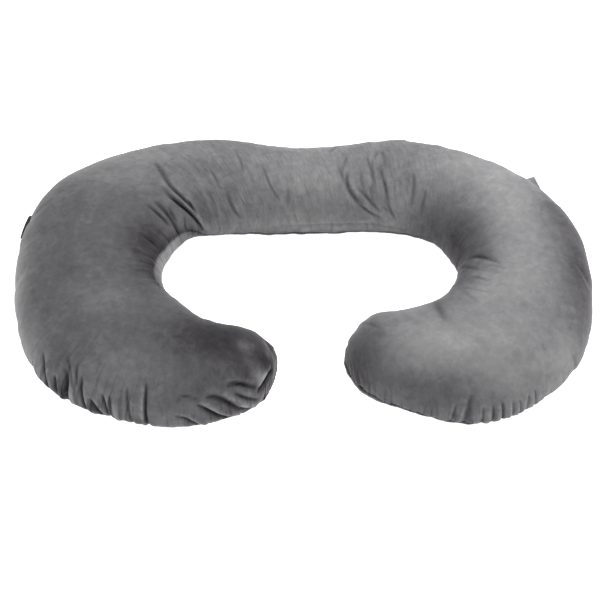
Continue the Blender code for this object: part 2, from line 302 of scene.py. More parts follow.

# ---- the pile, and the painted light and shade on it --------------------------------------------

# Where the pile lies lighter or darker than elsewhere on each panel, as it was last stroked, and
# where light and shade are painted on it: lit patches, rims and glints, and painted shade in
# the bends, pits and under the back.
#   middle x, y, z  of the patch, from the middle of the pillow's box
#   reach x, y, z   how far it is felt
#   tone            how much lighter, or darker under 0
TOP_NAP_AND_PAINTED_LIGHT = {
    "top of the back": (-0.30, 0.245, 0.18, 0.20, 0.03, 0.10, -0.40),
    "top edge of the back": (0.03, 0.35, 0.15, 0.10, 0.04, 0.05, 0.50),
    "top edge of the right back": (0.22, 0.36, 0.15, 0.08, 0.04, 0.05, 0.35),
    "back": (-0.05, 0.27, 0.17, 0.30, 0.10, 0.15, 0.45),
    "waist": (0.05, 0.23, 0.16, 0.14, 0.07, 0.15, 0.40),
    "left shoulder": (-0.43, 0.27, 0.18, 0.18, 0.08, 0.15, 0.95),
    "left inner bend": (-0.345, 0.04, 0.15, 0.06, 0.07, 0.08, -0.95),
    "left inner side": (-0.35, -0.06, 0.16, 0.05, 0.08, 0.06, -0.60),
    "left arm": (-0.50, -0.10, 0.18, 0.13, 0.20, 0.15, -0.15),
    "left arm, lit": (-0.44, -0.15, 0.18, 0.08, 0.05, 0.10, 0.40),
    "left rim": (-0.65, -0.10, 0.10, 0.045, 0.20, 0.15, 1.45),
    "left rim, low": (-0.585, -0.24, 0.12, 0.05, 0.06, 0.08, 0.80),
    "left end": (-0.18, -0.25, 0.17, 0.13, 0.09, 0.12, -1.35),
    "left end, lit": (-0.125, -0.253, 0.148, 0.016, 0.014, 0.03, 0.80),
    "left nose": (-0.088, -0.305, 0.105, 0.02, 0.015, 0.02, 0.90),
    "left nose, rim": (-0.082, -0.22, 0.10, 0.025, 0.05, 0.05, -0.70),
    "left nose, inner side": (-0.125, -0.325, 0.125, 0.03, 0.018, 0.02, -0.70),
    "left nose, outer side": (-0.075, -0.31, 0.075, 0.02, 0.04, 0.02, -0.70),
    "left nose, upper glint": (-0.08, -0.216, 0.104, 0.008, 0.01, 0.01, 1.20),
    "left nose, lower glint": (-0.077, -0.242, 0.103, 0.008, 0.01, 0.01, 0.80),
    "left nose, pit": (-0.082, -0.264, 0.108, 0.03, 0.02, 0.03, -0.80),
    "left foot": (-0.20, -0.38, 0.10, 0.08, 0.04, 0.08, -0.50),
    "left foot, lit": (-0.22, -0.385, 0.11, 0.03, 0.02, 0.03, 0.50),
    "left heel": (-0.36, -0.33, 0.15, 0.14, 0.06, 0.12, 0.45),
    "left heel, pit": (-0.335, -0.39, 0.065, 0.02, 0.02, 0.02, -1.20),
    "left corner, first pit": (-0.52, -0.32, 0.085, 0.02, 0.02, 0.025, -1.50),
    "left corner, second pit": (-0.44, -0.365, 0.07, 0.02, 0.02, 0.02, -1.30),
    "right back": (0.20, 0.24, 0.17, 0.11, 0.04, 0.15, -0.20),
    "right back, inner side": (0.22, 0.155, 0.13, 0.05, 0.03, 0.05, 0.60),
    "right bend": (0.38, 0.26, 0.18, 0.12, 0.08, 0.15, 0.75),
    "right inner bend": (0.36, 0.06, 0.14, 0.06, 0.065, 0.10, -0.85),
    "right inner bend, low": (0.39, -0.01, 0.165, 0.035, 0.035, 0.08, -0.60),
    "right inner side": (0.345, -0.05, 0.10, 0.035, 0.07, 0.05, -1.10),
    "right inner side, low": (0.30, -0.15, 0.14, 0.03, 0.04, 0.04, -0.50),
    "right inner edge": (0.31, 0.12, 0.07, 0.06, 0.04, 0.05, -0.70),
    "right arm": (0.48, 0.12, 0.18, 0.09, 0.16, 0.15, 1.00),
    "right rim": (0.63, -0.04, 0.13, 0.055, 0.13, 0.12, -1.20),
    "right shoulder rim": (0.58, 0.13, 0.14, 0.05, 0.07, 0.10, -0.80),
    "right side": (0.48, -0.10, 0.18, 0.09, 0.10, 0.15, 0.70),
    "right end, inner side": (0.23, -0.14, 0.11, 0.12, 0.05, 0.07, 0.80),
    "right end": (0.32, -0.255, 0.17, 0.16, 0.08, 0.12, 1.25),
    "right end, middle": (0.34, -0.24, 0.17, 0.06, 0.04, 0.10, -0.35),
    "right side, inner": (0.40, -0.13, 0.18, 0.05, 0.05, 0.10, 0.40),
    "right corner": (0.51, -0.30, 0.13, 0.09, 0.08, 0.12, 0.40),
    "right corner, rim": (0.56, -0.27, 0.12, 0.04, 0.06, 0.05, 0.70),
    "right heel": (0.42, -0.35, 0.15, 0.07, 0.035, 0.08, 0.40),
    "right tip": (0.11, -0.27, 0.12, 0.06, 0.07, 0.12, -1.00),
    "right front": (0.24, -0.36, 0.11, 0.12, 0.04, 0.08, -0.50),
    "inner side of the back": (-0.02, 0.15, 0.09, 0.24, 0.04, 0.04, 0.55),
}
UNDER_NAP_AND_PAINTED_LIGHT = {
    "left inner bend": (-0.31, 0.06, 0.10, 0.06, 0.08, 0.05, 1.00),
    "inner side of the back": (0.05, 0.15, 0.04, 0.34, 0.06, 0.05, -2.00),
}

# Fine wrinkles that stroking leaves in the cloth, as rows of
#   ring_step, around_step  how many sections and steps across one of them is wide
#   slant                   how many sections it goes on along the pillow for each step across
#   depth                   in millimetres
#   from, to share          where along the pillow they are strongest
WRINKLES = [
    (5, 20, 0.30, 0.9, 0.42, 0.66),
    (3, 10, 0.20, 0.5, 0.38, 0.70),
    (11, 14, 0.50, 0.7, 0.00, 1.00),
]
WRINKLE_FADE = 0.04  # the share of the way over which they fade out
WRINKLE_SEAM = 0.03  # how near to a seam they fade out
WRINKLE_TIP = 0.02  # and how near to a tip, as a share of the way
STROKE_SEAM = 0.02  # how near to a seam the marks of stroking fade out

# How much the marks of stroking show, at each share of the way from tip to tip.
STROKES = [
    (0.00, 0.3), (0.12, 0.15), (0.25, 0.15), (0.32, 0.3), (0.40, 0.9), (0.60, 0.9), (0.66, 0.35),
    (0.80, 0.30), (0.95, 0.15), (1.00, 0.15),
]


# ---- curves -------------------------------------------------------------------------------------


def spline_bend(knots, values, closed):
    """The second derivatives, at the knots, of the cubic spline through the values.

    A closed curve ends on its first value and goes on without a break. An open one has no bend
    at its ends.
    """
    step = np.diff(knots)
    slope = np.diff(values, axis=0) / step[:, None]
    count = len(knots)
    matrix = np.eye(count)
    right = np.zeros_like(values)
    for i in range(1, count - 1):
        matrix[i, i - 1 : i + 2] = step[i - 1], 2 * (step[i - 1] + step[i]), step[i]
        right[i] = 6 * (slope[i] - slope[i - 1])
    if closed:
        matrix[0, [0, 1, -2, -1]] = 2 * step[0], step[0], step[-1], 2 * step[-1]
        right[0] = 6 * (slope[0] - slope[-1])
        matrix[-1, [0, -1]] = 1, -1
    return np.linalg.solve(matrix, right)


def spline(knots, values, at, closed=False):
    """The cubic spline through the values at the knots, read at the points in at."""
    bend = spline_bend(knots, values, closed)
    i = np.clip(np.searchsorted(knots, at) - 1, 0, len(knots) - 2)
    h = (knots[i + 1] - knots[i])[:, None]
    a = (knots[i + 1] - at)[:, None]
    b = (at - knots[i])[:, None]
    return (
        (bend[i] * a**3 + bend[i + 1] * b**3) / (6 * h)
        + (values[i] / h - bend[i] * h / 6) * a
        + (values[i + 1] / h - bend[i + 1] * h / 6) * b
    )


def power(value, exponent):
    """value to the exponent, with its sign kept."""
    return np.sign(value) * np.abs(value) ** exponent


def eased(part):
    """A part from 0 to 1 that starts and ends slowly: three of its squares less two cubes."""
    return part * part * (3 - 2 * part)


def bell(distance, reach):
    """1 at no distance, falling off to both sides as e to the minus square of the reaches gone."""
    return np.exp(-((distance / reach) ** 2))


def rising(distance, reach):
    """0 at no distance or less, and 1 from the reach on, on a straight line between them."""
    return np.clip(distance / reach, 0, 1)


def within(share, start, end, fade):
    """1 at the shares from start to end, falling to 0 on a straight line over fade past them."""
    return np.clip(1 - np.maximum(start - share, share - end) / fade, 0, 1)


def read_between(values, i, j, u, v):
    """The values of a grid at the part u past its row i and the part v past its column j."""
    low = values[i, j] * (1 - u) + values[i + 1, j] * u
    high = values[i, j + 1] * (1 - u) + values[i + 1, j + 1] * u
    return low * (1 - v) + high * v


# ---- the cover's form ---------------------------------------------------------------------------


def sections_at(share):
    """The outer point, the inner point and the other columns of SECTIONS at each share of the way.

    The outline is one closed curve, out along the outer points and back along the inner ones, so
    that both tips are round. Its outer point at a share faces its inner point at the same share.
    """
    table = np.array(list(SECTIONS.values()))
    outer, inner = table[:, 0:2], table[:, 2:4]
    gaps = sum(np.linalg.norm(np.diff(side, axis=0), axis=1) for side in (outer, inner))
    knots = np.concatenate([[0], np.cumsum(gaps)]) / gaps.sum()
    outline = np.concatenate([outer, inner[-2::-1]])
    round_knots = np.concatenate([knots, 2 - knots[-2::-1]])
    outline = outline - (outline.min(axis=0) + outline.max(axis=0)) / 2
    outer_at = spline(round_knots, outline, share, closed=True)
    inner_at = spline(round_knots, outline, 2 - share, closed=True)
    return outer_at, inner_at, spline(knots, table[:, 4:], share)


def ring_shares(rings):
    """The share of the way of each of so many sections, the tips left out.

    They are evenly spaced, but within TIP_EASE of a tip the spacing falls in proportion to the
    distance, so the share there goes with the square of the section's number. Then they are
    crowded towards both ends: the share less a sine of one turn, times END_CROWD.
    """
    even = np.arange(1, rings + 1) / (rings + 1)
    near = np.minimum(even, 1 - even)
    closing = np.where(near < TIP_EASE, near**2 / (2 * TIP_EASE), near - TIP_EASE / 2)
    closing = closing / (1 - TIP_EASE)
    share = np.where(even < 0.5, closing, 1 - closing)
    return share - END_CROWD * np.sin(2 * np.pi * share) / (2 * np.pi)


def panel_shares(steps):
    """The share across a panel of each of so many steps, crowded towards its two seams.

    It is the even share less a sine of one turn, times SEAM_CROWD.
    """
    even = np.arange(steps) / steps
    return even - SEAM_CROWD * np.sin(2 * np.pi * even) / (2 * np.pi)


def cover_rings(share, over, under):
    """Rings of points on the smooth cover, at each share of the way from tip to tip.

    A ring starts at the outer seam, crosses the top to the inner seam, and comes back underneath.
    Its plan goes as the cosine of the angle round the section and its height as the sine, each to
    the power of two over the fullness, and the underside is pressed flat where it would go lower
    than the surface.
    """
    outer, inner, heights = sections_at(share)
    crown, belly, outer_seam, inner_seam = (heights[:, [i]] for i in range(4))
    start, turn, end = (np.radians(a) for a in (outer_seam, 180 - inner_seam, outer_seam + 360))
    angle = np.concatenate([start + (turn - start) * over, turn + (end - turn) * under], axis=1)
    width = np.maximum(np.linalg.norm(outer - inner, axis=1), TINY)[:, None]
    swell = np.sin(np.pi / 2 * np.minimum(width / FULL_WIDTH, 1))
    lift = np.sin(angle)
    top = power(lift, 2 / TOP_FULLNESS)
    low = np.minimum(UNDER_PRESS * power(-lift, 2 / UNDER_FULLNESS), 1)
    height = np.where(lift >= 0, belly + (crown - belly) * swell * top, belly * (1 - low * swell))
    full = np.where(lift >= 0, TOP_FULLNESS, UNDER_FULLNESS)
    reach = power(np.cos(angle), 2 / full)[:, :, None]
    plan = (outer + inner)[:, None] / 2 + (outer - inner)[:, None] / 2 * reach
    return np.concatenate([plan, height[:, :, None]], axis=2)


def smooth_cover(rings, finer):
    """The grid of the smooth cover, and its shares along the pillow and across the top.

    It has so many rings and finer times the steps across. A first and a last ring are added to
    them, whose points all lie at a tip.
    """
    share = ring_shares(rings)
    over, under = panel_shares(finer * TOP_STEPS), panel_shares(finer * UNDER_STEPS)
    tips = cover_rings(np.array([0.0, 1.0]), panel_shares(1), panel_shares(1))[:, :1]
    body = cover_rings(share, over, under)
    ends = np.broadcast_to(tips, (2, body.shape[1], 3))
    grid = np.concatenate([ends[:1], body, ends[1:]])
    return grid, np.concatenate([[0], share, [1]]), over


def outward(grid):
    """The unit normals of a grid of rings: the cross product of its two gradients."""
    along = np.gradient(grid, axis=0)
    around = np.roll(grid, -1, axis=1) - np.roll(grid, 1, axis=1)
    normal = np.cross(around, along)
    return normal / np.maximum(np.linalg.norm(normal, axis=2, keepdims=True), TINY)


def arc_lengths(grid, axis):
    """How far along an axis of the grid each point is, the way that the cloth runs."""
    steps = np.linalg.norm(np.diff(grid, axis=axis), axis=2)
    pad = [(0, 0), (0, 0)]
    pad[axis] = (1, 0)
    return np.pad(np.cumsum(steps, axis=axis), pad)


def inner_step(around):
    """The number of the step where the inner seam is, of so many steps round a section."""
    return around * TOP_STEPS // (TOP_STEPS + UNDER_STEPS)


def seam_distance(grid):
    """How far each point is from the outer seam and from the inner one, over the cloth."""
    around = grid.shape[1]
    closed = np.concatenate([grid, grid[:, :1]], axis=1)
    run = arc_lengths(closed, 1)
    half = run[:, [inner_step(around)]]
    outer = np.minimum(run, run[:, [-1]] - run)[:, :around]
    return outer, np.abs(run - half)[:, :around]


# ---- meshes -------------------------------------------------------------------------------------


def mesh_piece(name, points, faces, corner_uv=()):
    """A smooth-shaded mesh object of the points and faces, with its UV map by face corner."""
    mesh = bpy.data.meshes.new(name)
    mesh.from_pydata(points.tolist(), [], faces)
    if corner_uv:
        mesh.uv_layers.new(name="cloth").data.foreach_set("uv", np.concatenate(corner_uv).ravel())
    mesh.shade_smooth()
    piece = bpy.data.objects.new(name, mesh)
    bpy.context.scene.collection.objects.link(piece)
    return piece


def cover_faces(rings, around):
    """The corners of a closed cover's faces, each as the ring and the step that it is at.

    Between two rings the faces have four corners, and round a tip three. The step of a corner
    runs on to the full number at the end of a ring, where it is the first step again.
    """
    ring, step = np.meshgrid(np.arange(1, rings), np.arange(around), indexing="ij")
    ring, step = ring.ravel(), step.ravel()
    quads = np.stack([ring, ring, ring + 1, ring + 1, step, step + 1, step + 1, step], axis=1)
    s = np.arange(around)
    zero, one, last = np.zeros_like(s), np.ones_like(s), np.full_like(s, rings)
    first = np.stack([zero, one, one, s, s + 1, s], axis=1)
    end = np.stack([last + 1, last, last, s, s, s + 1], axis=1)
    return quads, np.concatenate([first, end])


def cover_piece(name, grid, uv=None):
    """The closed cover through a grid whose first and last rings are the tips."""
    rings, around = grid.shape[0] - 2, grid.shape[1]
    points = np.concatenate([grid[0, :1], grid[1:-1].reshape(-1, 3), grid[-1, :1]])
    faces, corner_uv = [], []
    for corners in cover_faces(rings, around):
        ring, step = np.split(corners, 2, axis=1)
        inside = 1 + (ring - 1) * around + step % around
        past = np.where(ring > rings, 1 + rings * around, inside)
        faces += np.where(ring == 0, 0, past).tolist()
        if uv is not None:
            corner_uv.append(uv[ring, step].reshape(-1, 2))
    return mesh_piece(name, points, faces, corner_uv)


def cover_grid(piece_points, rings, around):
    """The points of a cover's mesh, in its order, as a grid with the tips' rings."""
    body = piece_points[1:-1].reshape(rings, around, 3)
    ends = [np.broadcast_to(piece_points[i], (1, around, 3)) for i in (0, -1)]
    return np.concatenate([ends[0], body, ends[1]])


# ---- the filled cover ---------------------------------------------------------------------------


def gathers_at(share):
    """The columns of GATHERS at each share of the way, on straight lines between its rows."""
    table = np.array(GATHERS)
    return [np.interp(share, table[:, 0], column)[:, None] for column in table[:, 1:].T]


def fullness(grid, share):
    """How full the cloth is gathered at each point.

    It falls off exponentially from the seams, and is nothing half way between them, where the
    gathers of one meet those of the other at the tips.
    """
    outer, inner = seam_distance(grid)
    outer_full, reach, inner_full = gathers_at(share)
    near_outer = outer_full * np.exp(-outer / (reach / 1000))
    near_inner = inner_full * np.exp(-inner / INNER_REACH)
    return np.clip(near_outer + near_inner, 0, 1) * rising(np.abs(outer - inner), MEETING)


def wandering(chance, rings, step):
    """A smooth random curve along the pillow: random heights every so many sections, eased."""
    heights = chance.normal(size=int(rings / step) + 2)
    whole, part = np.divmod(np.arange(rings) / step, 1)
    whole, part = whole.astype(int), eased(part)
    return (heights[whole] * (1 - part) + heights[whole + 1] * part)[:, None]


def first_ripples(grid):
    """The ripples that the simulation grows: random along a seam, and fading away from it."""
    chance = np.random.default_rng(SEED)
    rings, around = grid.shape[:2]
    over, under, inside = (wandering(chance, rings, RIPPLE_STEP) for _ in range(3))
    outer, inner = seam_distance(grid)
    on_top = np.arange(around) < inner_step(around)
    ripple = np.where(on_top, over, under) * np.exp(-outer / OUTER_RIPPLE)
    return FIRST_RIPPLE * (ripple + inside * np.exp(-inner / INNER_REACH))


def filled(grid, share):
    """The cover after a cloth simulation under the pressure of its filling.

    The cloth is cut larger than the form where it is gathered, so it buckles into folds as it
    grows. The thread keeps both seams where they are, and the filling holds the rest softly.
    """
    rings, around = grid.shape[0] - 2, grid.shape[1]
    start = grid + outward(grid) * first_ripples(grid)[:, :, None]
    piece = cover_piece("cover", start)
    cut = piece.vertex_groups.new(name="cut")
    hold = piece.vertex_groups.new(name="hold")
    levels = np.round(fullness(grid, share)[1:-1].ravel() * CUT_LEVELS).astype(int)
    for level in np.unique(levels):
        cut.add((np.nonzero(levels == level)[0] + 1).tolist(), level / CUT_LEVELS, "REPLACE")
    hold.add(list(range(len(levels) + 2)), CLOTH_HOLD, "REPLACE")
    ring_starts = 1 + around * np.arange(rings)
    seams = np.concatenate([[0], ring_starts, ring_starts + inner_step(around)])
    hold.add(seams.tolist(), SEAM_HOLD, "REPLACE")
    cloth = piece.modifiers.new("filling", "CLOTH")
    cloth.point_cache.frame_start, cloth.point_cache.frame_end = 1, FRAMES
    settings = {
        "quality": 6,
        "mass": 0.25,
        "tension_stiffness": 20,
        "compression_stiffness": 20,
        "shear_stiffness": 8,
        "bending_stiffness": 0.4,
        "use_pressure": True,
        "uniform_pressure_force": PRESSURE,
        "vertex_group_shrink": "cut",
        "shrink_max": -LARGER,
        "vertex_group_mass": "hold",
        "pin_stiffness": 1.0,
    }
    for name, value in settings.items():
        setattr(cloth.settings, name, value)
    cloth.settings.effector_weights.gravity = 0
    for number in range(1, FRAMES + 1):
        bpy.context.scene.frame_set(number)
    shape = piece.evaluated_get(bpy.context.evaluated_depsgraph_get()).data
    points = np.empty(len(shape.vertices) * 3, np.float32)
    shape.vertices.foreach_get("co", points)
    bpy.context.scene.frame_set(1)
    bpy.data.objects.remove(piece)
    return cover_grid(points.reshape(-1, 3).astype(float), rings, around)


def mean_along(values, reach):
    """The running mean of the values along the pillow, over reach sections either way, twice."""
    for _ in range(2):
        padded = np.pad(values, [(reach, reach), (0, 0)], mode="edge")
        total = np.cumsum(np.pad(padded, [(1, 0), (0, 0)]), axis=0)
        values = (total[2 * reach + 1 :] - total[: -2 * reach - 1]) / (2 * reach + 1)
    return values


def ripples(grid, swollen):
    """How far the simulated cloth stands off the smooth form, without its broad swelling.

    It is the movement along the normal less its own mean along the pillow, eased to zero at the
    tips and held under RIPPLE_CAP.
    """
    off = ((swollen - grid) * outward(grid)).sum(axis=2)
    off = off - mean_along(off, SMOOTH_RINGS)
    ring = np.arange(len(grid))
    ease = rising(np.minimum(ring, ring[::-1]), TIP_RINGS)[:, None]
    return RIPPLE_CAP * np.tanh(off * ease / RIPPLE_CAP)


def doubled(values, axis, wrap):
    """The values with a new one half way between each two, on the cubic through four of them."""
    before, after = np.roll(values, 1, axis=axis), np.roll(values, -1, axis=axis)
    later = np.roll(values, -2, axis=axis)
    middle = (9 * (values + after) - before - later) / 16
    both = np.stack([values, middle], axis=axis + 1)
    shape = list(values.shape)
    shape[axis] *= 2
    both = both.reshape(shape)
    if not wrap:
        both = np.take(both, range(shape[axis] - 1), axis=axis)
    return both


# ---- creases, gathers and seams -----------------------------------------------------------------


def crease_line(grid, share, across, points):
    """A curve over the grid through three points, as a parabola of its turn, and how it faces."""
    points = np.array(points).reshape(3, 2)
    turns = np.linspace(0, 1, CREASE_STEPS)[:, None]
    bend = points[1] * 2 - (points[0] + points[2]) / 2
    at = points[0] * (1 - turns) ** 2 + bend * 2 * turns * (1 - turns) + points[2] * turns**2
    outer_seam, inner_seam = sections_at(at[:, 0])[2][:, 2:].T
    turn = 180 - inner_seam
    over = (at[:, 1] * turn - outer_seam) / (turn - outer_seam)
    row = np.interp(at[:, 0], share[1:-1], np.arange(len(share) - 2)) + 1
    step = np.interp(over, across, np.arange(len(across)))
    low_row = np.clip(row.astype(int), 0, len(grid) - 2)
    low_step = np.clip(step.astype(int), 0, len(across) - 2)
    u, v = (row - low_row)[:, None], (step - low_step)[:, None]
    return read_between(grid, low_row, low_step, u, v), outward(grid)[low_row, low_step]


def crease_depth(grid, line, facing, depth, half_width, lip, turns):
    """How far a crease moves each point in.

    Across its line the cloth falls as a bell of the distance and stands up beside it as a wider
    bell. Along it both go as the root of the sine from one turn to the other, in half circles.
    """
    reach = CREASE_REACH * half_width
    near = np.all((grid > line.min(axis=0) - reach) & (grid < line.max(axis=0) + reach), axis=2)
    points = grid[near]
    start, run = line[:-1], np.diff(line, axis=0)
    from_start = points[:, None] - start
    along = np.clip((from_start * run).sum(axis=2) / (run**2).sum(axis=1), 0, 1)
    off = from_start - along[..., None] * run
    gap = np.linalg.norm(off, axis=2)
    best = gap.argmin(axis=1)
    pick = np.arange(len(points))
    gap, off = gap[pick, best], off[pick, best]
    left = (np.cross(run[best], off) * facing[best]).sum(axis=1) > 0
    way = (best + along[pick, best]) / len(start)
    fade = np.sqrt(np.clip(np.sin(np.pi * (turns[0] + way * (turns[1] - turns[0]))), 0, 1))
    trough = depth * bell(gap, half_width)
    ridge = lip * bell(gap - LIP_AWAY * half_width, LIP_WIDTH * half_width) * left
    moved = np.zeros(grid.shape[:2])
    moved[near] = (trough - ridge) * fade
    return moved


def random_folds(chance, rings, around, ring_step, around_step, slant):
    """A smooth random field on the grid: random heights on a slanted lattice, eased between."""
    ring = np.arange(rings)[:, None] + slant * np.arange(around)[None]
    spots = ring / ring_step, np.arange(around)[None] / around_step
    count = [int(spot.max()) + 2 for spot in spots]
    heights = chance.normal(size=count)
    (i, u), (j, v) = ((spot.astype(int), spot % 1) for spot in spots)
    return read_between(heights, i, j, eased(u), eased(v))


def stroked(grid, share):
    """The fine wrinkles: each row's random field, faded out along the pillow past its place."""
    chance = np.random.default_rng(SEED + 1)
    rings, around = grid.shape[:2]
    total = np.zeros((rings, around))
    outer, inner = seam_distance(grid)
    for ring_step, around_step, slant, depth, start, end in WRINKLES:
        field = random_folds(chance, rings, around, ring_step, around_step, slant)
        total += depth / 1000 * field * within(share, start, end, WRINKLE_FADE)[:, None]
    ends = rising(np.minimum(share, 1 - share), WRINKLE_TIP)[:, None]
    return total * rising(np.minimum(outer, inner), WRINKLE_SEAM) * ends


def seam_places(grid):
    """How far along its nearer seam each point is, and how far from that seam."""
    run = arc_lengths(grid, 0)
    outer, inner = seam_distance(grid)
    outer_run, inner_run = run[:, :1], run[:, [inner_step(grid.shape[1])]]
    return np.where(outer < inner, outer_run, inner_run), np.minimum(outer, inner)


def stroked_share(grid, share):
    """How much of the fine strokes show at each point: most on the back, least at the ends."""
    along = np.interp(share, *np.array(STROKES).T)[:, None]
    outer, inner = seam_distance(grid)
    return along * rising(np.minimum(outer, inner), STROKE_SEAM)


def nap_and_painted_light(grid):
    """The pile's tone with its painted light and shade at each point: the sum of its patches' bells."""
    tone = np.zeros(grid.shape[:2])
    inner = inner_step(grid.shape[1])
    panels = (slice(1, inner), TOP_NAP_AND_PAINTED_LIGHT), (slice(inner, None), UNDER_NAP_AND_PAINTED_LIGHT)
    for panel, patches in panels:
        points = grid[:, panel]
        for row in patches.values():
            middle, reach, strength = row[:3], row[3:6], row[6]
            felt = np.exp(-(((points - middle) / reach) ** 2).sum(axis=2))
            tone[:, panel] += strength * felt
    return tone


def puckers(grid, share):
    """How far the puckers move each point in, and how deep in one each point is, from 0 to 1.

    They are the square of a raised cosine of the run of the outer seam, and fall off as a bell
    of the distance from it. How deep in one a point is sets the painted shade there.
    """
    chance = np.random.default_rng(SEED + 2)
    run = arc_lengths(grid, 0)[:, 0]
    outer = seam_distance(grid)[0]
    moved, deep = np.zeros((2, *outer.shape))
    for start, end, period, depth, reach in PUCKERS:
        drift = PUCKER_DRIFT * wandering(chance, len(share), DRIFT_STEP)[:, 0]
        wave = (0.5 - 0.5 * np.cos(2000 * np.pi * run / period + drift)) ** 2
        shown = wave * within(share, start, end, PUCKER_FADE)
        there = shown[:, None] * bell(1000 * outer, reach)
        moved += depth / 1000 * there
        deep = np.maximum(deep, there * min(depth / FULL_PUCKER, 1))
    return moved, deep


def seam_draw(grid):
    """How far the thread draws the cloth in: a bell of the distance from each seam."""
    outer, inner = (bell(distance, SEAM_REACH) for distance in seam_distance(grid))
    return OUTER_DRAW * outer + INNER_DRAW * inner


def crease_marks(grid, share, across):
    """How far the creases move each point in, and how deep in a fold each point is.

    Depth in a fold goes to 1 in the painted shade of a crease, and under 0 for the painted highlight
    on its lip beside it.
    """
    moved, dark, lit = np.zeros((3, *grid.shape[:2]))
    for row in sum(CREASES.values(), []):
        line, facing = crease_line(grid, share, across, row[:6])
        depth, half_width, lip = (size / 1000 for size in row[6:])
        turns = 0.5 if row[1] < 0 else 0, 0.5 if row[5] < 0 else 1
        moved += crease_depth(grid, line, facing, depth, half_width, lip, turns)
        steep = min(depth / half_width / FULL_FOLD, 1)
        core = half_width * FOLD_CORE
        inside = crease_depth(grid, line, facing, steep, core, 0, turns)
        beside = -crease_depth(grid, line, facing, 0, half_width, lip / LIT_LIP, turns)
        dark, lit = np.maximum(dark, inside), np.maximum(lit, beside)
    return moved, np.minimum(dark, 1) - np.minimum(lit, 1) * (1 - np.minimum(dark, 1))


def add_attribute(piece, name, values):
    """An attribute of the cover's points, from a grid of values."""
    ordered = np.concatenate([values[0, :1], values[1:-1].ravel(), values[-1, :1]])
    piece.data.attributes.new(name, "FLOAT", "POINT").data.foreach_set("value", ordered)


def cover():
    """The finished cover of the pillow."""
    grid, share, _ = smooth_cover(RINGS, 1)
    stand = np.zeros(grid.shape[:2])
    stand = ripples(grid, filled(grid, share))
    stand = doubled(doubled(stand, 0, False), 1, True)
    grid, share, over = smooth_cover(2 * RINGS + 1, 2)
    moved, fold = crease_marks(grid, share, over)
    puckered, deep = puckers(grid, share)
    drawn = seam_draw(grid)
    stand += stroked(grid, share) - moved - drawn - puckered
    # Painted shade on the top along the inner seam, in the puckers and at the threads.
    inside = bell(seam_distance(grid)[1], INSIDE_REACH)
    inside[:, inner_step(grid.shape[1]) + 1 :] = 0
    fold += PUCKER_SHADE * deep + SEAM_SHADE * drawn / OUTER_DRAW + INSIDE_SHADE * inside
    normal = outward(grid)
    normal[[0, -1]] = 0
    # The nap mark holds the pile's tone with painted light and shade, and fold the painted shade with
    # the painted highlight on crease lips.
    marks = {"nap_and_painted_light": nap_and_painted_light(grid), "fold": fold, "pucker": fullness(grid, share)}
    grid = grid + normal * stand[:, :, None]
    grid[..., 2] = np.maximum(grid[..., 2], 0)
    closed = np.concatenate([grid, grid[:, :1]], axis=1)
    along = np.broadcast_to(arc_lengths(closed, 0).mean(axis=1)[:, None], closed.shape[:2])
    uv = np.stack([along, arc_lengths(closed, 1)], axis=2)
    piece = cover_piece("velvet_cover", grid, uv)
    marks["stroked"] = stroked_share(grid, share)
    marks["seam run"], marks["seam way"] = seam_places(grid)
    for name, values in marks.items():
        add_attribute(piece, name, values)
    return piece


# ---- the tabs' tape -----------------------------------------------------------------------------


def folded_tape(name):
    """The surface of a tape folded double, and its UV map in metres: across it and along it.

    Its run goes out from the seam, turns at the fold and comes back. The way out is one less the
    square of the run, which is from -1 to 1, and the layer's height over the middle is the
    hyperbolic tangent of FOLD_TURN times the run. The way out lies on an arc from low to high.
    """
    place, low, high, near, far, near_lean, far_lean = TABS[name]
    low, high = np.radians([low, high])
    start = np.array([0.0])
    seam = cover_rings(place + TAB_REACH * np.linspace(-1, 1, TAB_STEPS), start, start)[:, 0]
    along = seam[-1] - seam[0]
    width = np.linalg.norm(along)
    along = along / width
    forth = np.array([-along[1], along[0], 0])
    up = np.array([0, 0, 1])
    run = np.linspace(-1, 1, RUN_STEPS)
    way = 1 - run**2
    slope = low + (high - low) * way
    out = (np.sin(slope) - np.sin(low)) / (high - low)
    rise = (np.cos(low) - np.cos(slope)) / (high - low)
    arc = forth * out[:, None] + up * rise[:, None]
    layer = (up * np.cos(slope)[:, None] - forth * np.sin(slope)[:, None]) * TAB_LOOP
    layer = layer * -np.tanh(FOLD_TURN * run)[:, None]
    length = np.linspace(near, far, len(seam))[:, None, None]
    lean = np.linspace(near_lean, far_lean, len(seam))[:, None, None] * way[:, None]
    points = (seam - forth * TAB_TUCK)[:, None] + arc * length + along * lean + layer
    across = np.linspace(0, width, len(seam))
    uv = np.stack(np.broadcast_arrays(across[:, None], run * (near + far) / 2), axis=2)
    return points, uv


def tab_piece(name):
    """A tab: its folded tape as a grid of faces, given its thickness."""
    points, uv = folded_tape(name)
    rows, columns = points.shape[:2]
    i, j = np.meshgrid(np.arange(rows - 1), np.arange(columns - 1), indexing="ij")
    start = (i * columns + j).ravel()
    faces = np.stack([start, start + 1, start + 1 + columns, start + columns], axis=1)
    uv = uv.reshape(-1, 2)[faces.ravel()]
    piece = mesh_piece(name + "_tape", points.reshape(-1, 3), faces.tolist(), [uv])
    thickness = piece.modifiers.new("thickness", "SOLIDIFY")
    thickness.thickness = TAPE_THICKNESS
    thickness.offset = 0
    return piece


# ---- materials ----------------------------------------------------------------------------------


def linear(colour):
    """An sRGB hex colour as a linear one."""
    value = np.array([int(colour[i : i + 2], 16) for i in (1, 3, 5)]) / 255
    low, high = value / 12.92, ((value + 0.055) / 1.055) ** 2.4
    return (*np.where(value <= 0.04045, low, high).tolist(), 1)


TIMES = {"operation": "MULTIPLY"}
PLUS = {"operation": "ADD"}
TIMES_PLUS = {"operation": "MULTIPLY_ADD"}
EASED = {"interpolation_type": "SMOOTHSTEP"}


